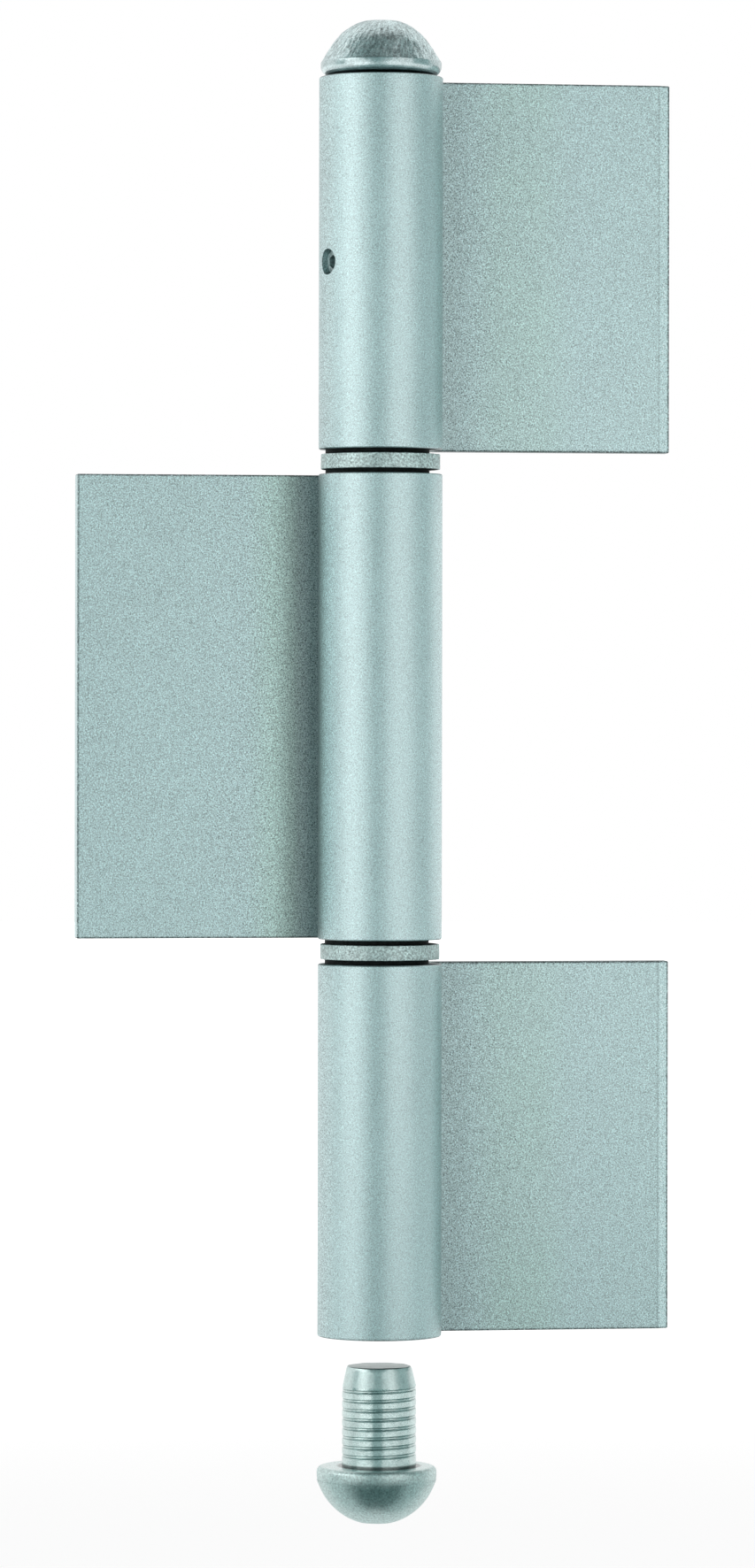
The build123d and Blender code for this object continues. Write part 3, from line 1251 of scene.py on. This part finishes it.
def add_softbox(name, brightness, turns, heights):
    """Stands an upright softbox between two turns in degrees, which faces the pin."""
    first, last = map(radians, turns)
    low, high = heights
    width = 2 * LAMP_DISTANCE * tan((last - first) / 2)
    lamp = bpy.data.lights.new(name, "AREA")
    lamp.shape = "RECTANGLE"
    lamp.size = width
    lamp.size_y = high - low
    lamp.energy = brightness * pi * width * (high - low)
    box = add_object(name, lamp)
    box.location = from_camera_side((first + last) / 2, LAMP_DISTANCE, (low + high) / 2)
    inward = Vector((-box.location.x, -box.location.y, 0))
    box.rotation_euler = inward.to_track_quat("-Z", "Y").to_euler()
    box.visible_camera = False


def fan(turns, near, far):
    """The corners and faces between two edges, each at a distance from the axis and a height."""
    first, last = map(radians, turns)
    steps = max(2, round((last - first) / CARD_STEP))
    corners = [
        from_camera_side(first + (last - first) * i / steps, distance, height)
        for distance, height in (near, far)
        for i in range(steps + 1)
    ]
    faces = [(i, i + 1, i + steps + 2, i + steps + 1) for i in range(steps)]
    return corners, faces


def add_card(name, brightness, turns, near, far):
    """Hangs a card, which only reflections see, between two turns in degrees and two edges."""
    corners, faces = fan(turns, near, far)
    mesh = bpy.data.meshes.new(name)
    mesh.from_pydata(corners, [], faces)
    card = add_object(name, mesh)
    material, board = new_material(name)
    strength = max(1.0, brightness)
    glow = board.add(
        "ShaderNodeEmission", inputs={"Color": card_colour(brightness), "Strength": strength}
    )
    board.add("ShaderNodeOutputMaterial", inputs={"Surface": glow})
    mesh.materials.append(material)
    card.visible_camera = False
    card.visible_diffuse = False
    card.visible_shadow = False


def cards(floor):
    """Every card's name, brightness, turns in degrees, and near and far edge."""
    foot = (WALL, floor)
    sill = (WALL, SILL)
    top = (WALL, CEILING)
    return (
        # upright screens round the hinge
        ("front_screen", 0.43, (-22, 10.5), foot, sill),
        ("front_right_screen", 1.05, (10.5, 37), foot, sill),
        ("left_screen", 2.1, (-95, -45), (WALL, 0.36), (WALL, 1.1)),
        ("low_left_screen", 0.45, (-95, -72), foot, (WALL, 0.36)),
        ("dark_screen", 0.38, (-45, 32), sill, top),
        ("grey_screen", 1.1, (32, 61), sill, top),
        ("high_screen", 0.24, (-105, -45), (WALL, 1.1), top),
        ("right_screen", 0.5, (61, 110), foot, (WALL, 0.8)),
        ("high_right_screen", 0.15, (61, 110), (WALL, 0.8), top),
        # a ceiling, and cards that lie on the floor
        ("dark_ceiling", 0.02, (-105, 110), (0, CEILING), top),
        ("under_floor", 0.9, (110, 250), (0, floor), (0.06, floor)),
        ("dark_floor", 0.1, (-60, 60), (0.006, floor), (0.14, floor)),
        ("middle_floor", 0.36, (-60, 60), (0.14, floor), (0.35, floor)),
        ("front_floor", 0.62, (-22, 10.5), (0.35, floor), foot),
        ("front_left_floor", 1.55, (-60, -22), (0.35, floor), foot),
        ("front_right_floor", 1.3, (10.5, 60), (0.35, floor), foot),
        ("left_floor", 0.68, (-110, -60), (0.006, floor), (0.35, floor)),
        ("right_floor", 0.55, (60, 110), (0.006, floor), (0.35, floor)),
    )


def add_floor(drop):
    """Lays a pale round floor under the hinge."""
    mesh = bpy.data.meshes.new("pale_floor")
    shape = bmesh.new()
    bmesh.ops.create_circle(shape, cap_ends=True, segments=96, radius=FLOOR_RADIUS)
    shape.to_mesh(mesh)
    shape.free()
    floor = add_object("pale_floor", mesh)
    floor.location.z = cad_box[0].z - drop
    material, board = new_material("pale_floor")
    lift = board.ramp(board.length(board.place()), FLOOR_FADE, FLOOR_WHITE)
    paper = board.add("ShaderNodeBsdfDiffuse", inputs={"Color": rgba(PAPER)})
    white = board.add("ShaderNodeEmission", inputs={"Color": rgba(WHITE), "Strength": 1.0})
    both = board.add("ShaderNodeAddShader", inputs={0: paper, 1: white})
    seen = lift * seen_by_eye(board)
    ground = board.add("ShaderNodeMixShader", inputs={0: seen, 1: paper, 2: both})
    board.add("ShaderNodeOutputMaterial", inputs={"Surface": ground})
    mesh.materials.append(material)


def light_the_world():
    """Makes the ground white to the eye, with a plain level of light."""
    world = bpy.data.worlds.new("studio")
    world.use_nodes = True
    bpy.context.scene.world = world
    board = Board(world.node_tree)
    strength = between(seen_by_eye(board), WORLD_LEVEL, 1.0)
    ground = board.add("ShaderNodeBackground", inputs={"Color": rgba(WHITE), "Strength": strength})
    board.add("ShaderNodeOutputWorld", inputs={"Surface": ground})


def add_camera(studio):
    """Stands the camera where the photograph was taken from."""
    data = bpy.data.cameras.new("camera")
    pixels = studio.pixels_per_metre * studio.camera_distance
    data.sensor_width = FULL_SENSOR
    data.lens = FULL_SENSOR * pixels / PHOTO_HEIGHT
    data.shift_x = (PHOTO_WIDTH / 2 - AXIS_COLUMN) / PHOTO_HEIGHT
    data.shift_y = (HORIZON_ROW - PHOTO_HEIGHT / 2) / PHOTO_HEIGHT
    camera = add_object("camera", data)
    turn = -studio.camera_turn
    forward = Vector((-sin(turn), cos(turn), 0))
    camera.location = -forward * studio.camera_distance
    camera.location.z = studio.eye_height
    roll = Quaternion((0, 0, 1), studio.camera_roll)
    camera.rotation_euler = (forward.to_track_quat("-Z", "Y") @ roll).to_euler()
    bpy.context.scene.camera = camera


class HINGE_OT_build_studio(Operator):
    """Lay the floor, stand the lamps and cards, and place the camera"""

    bl_idname = "hinge.build_studio"
    bl_label = "Build Studio"

    def execute(self, context):
        studio = context.scene.hinge_studio
        context.scene.view_settings.view_transform = "Standard"
        light_the_world()
        add_floor(studio.floor_drop)
        # the softboxes and cards stand a little above the floor
        floor = cad_box[0].z - studio.floor_drop + MM
        add_softbox("left_softbox", studio.left_lamp, turns=(-72, -22), heights=(floor, 0.27))
        add_softbox("right_softbox", studio.right_lamp, turns=(10.5, 37), heights=(floor, 0.25))
        for card in cards(floor):
            add_card(*card)
        add_camera(studio)
        return {"FINISHED"}


class HINGE_PT_finishes(Panel):
    """Finishes and studio of the hinge"""

    bl_idname = "HINGE_PT_finishes"
    bl_label = "Hinge Finishes"
    bl_space_type = "VIEW_3D"
    bl_region_type = "UI"
    bl_category = "Hinge"

    def draw(self, context):
        for group_name, group, operator in STEPS:
            column = self.layout.column()
            column.operator(operator.bl_idname)
            for name in group.__annotations__:
                column.prop(getattr(context.scene, group_name), name)


# Each step's settings on the scene, and the operator that uses them
STEPS = (
    ("hinge_leaf", LeafFinish, HINGE_OT_finish_leaves),
    ("hinge_pin", PinFinish, HINGE_OT_finish_pin),
    ("hinge_ring", RingFinish, HINGE_OT_finish_rings),
    ("hinge_screw", ScrewFinish, HINGE_OT_finish_screw),
    ("hinge_plug", PlugFinish, HINGE_OT_finish_plug),
    ("hinge_studio", StudioSettings, HINGE_OT_build_studio),
)


def register():
    for group_name, group, operator in STEPS:
        bpy.utils.register_class(group)
        bpy.utils.register_class(operator)
        setattr(bpy.types.Scene, group_name, PointerProperty(type=group))
    bpy.utils.register_class(HINGE_PT_finishes)


def unregister():
    bpy.utils.unregister_class(HINGE_PT_finishes)
    for group_name, group, operator in reversed(STEPS):
        delattr(bpy.types.Scene, group_name)
        bpy.utils.unregister_class(operator)
        bpy.utils.unregister_class(group)


def main():
    """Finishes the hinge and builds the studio."""
    register()
    bpy.ops.hinge.finish_leaves()
    bpy.ops.hinge.finish_pin()
    bpy.ops.hinge.finish_rings()
    bpy.ops.hinge.finish_screw()
    bpy.ops.hinge.finish_plug()
    bpy.ops.hinge.build_studio()
    bpy.context.view_layer.update()


if __name__ == "__main__":
    main()
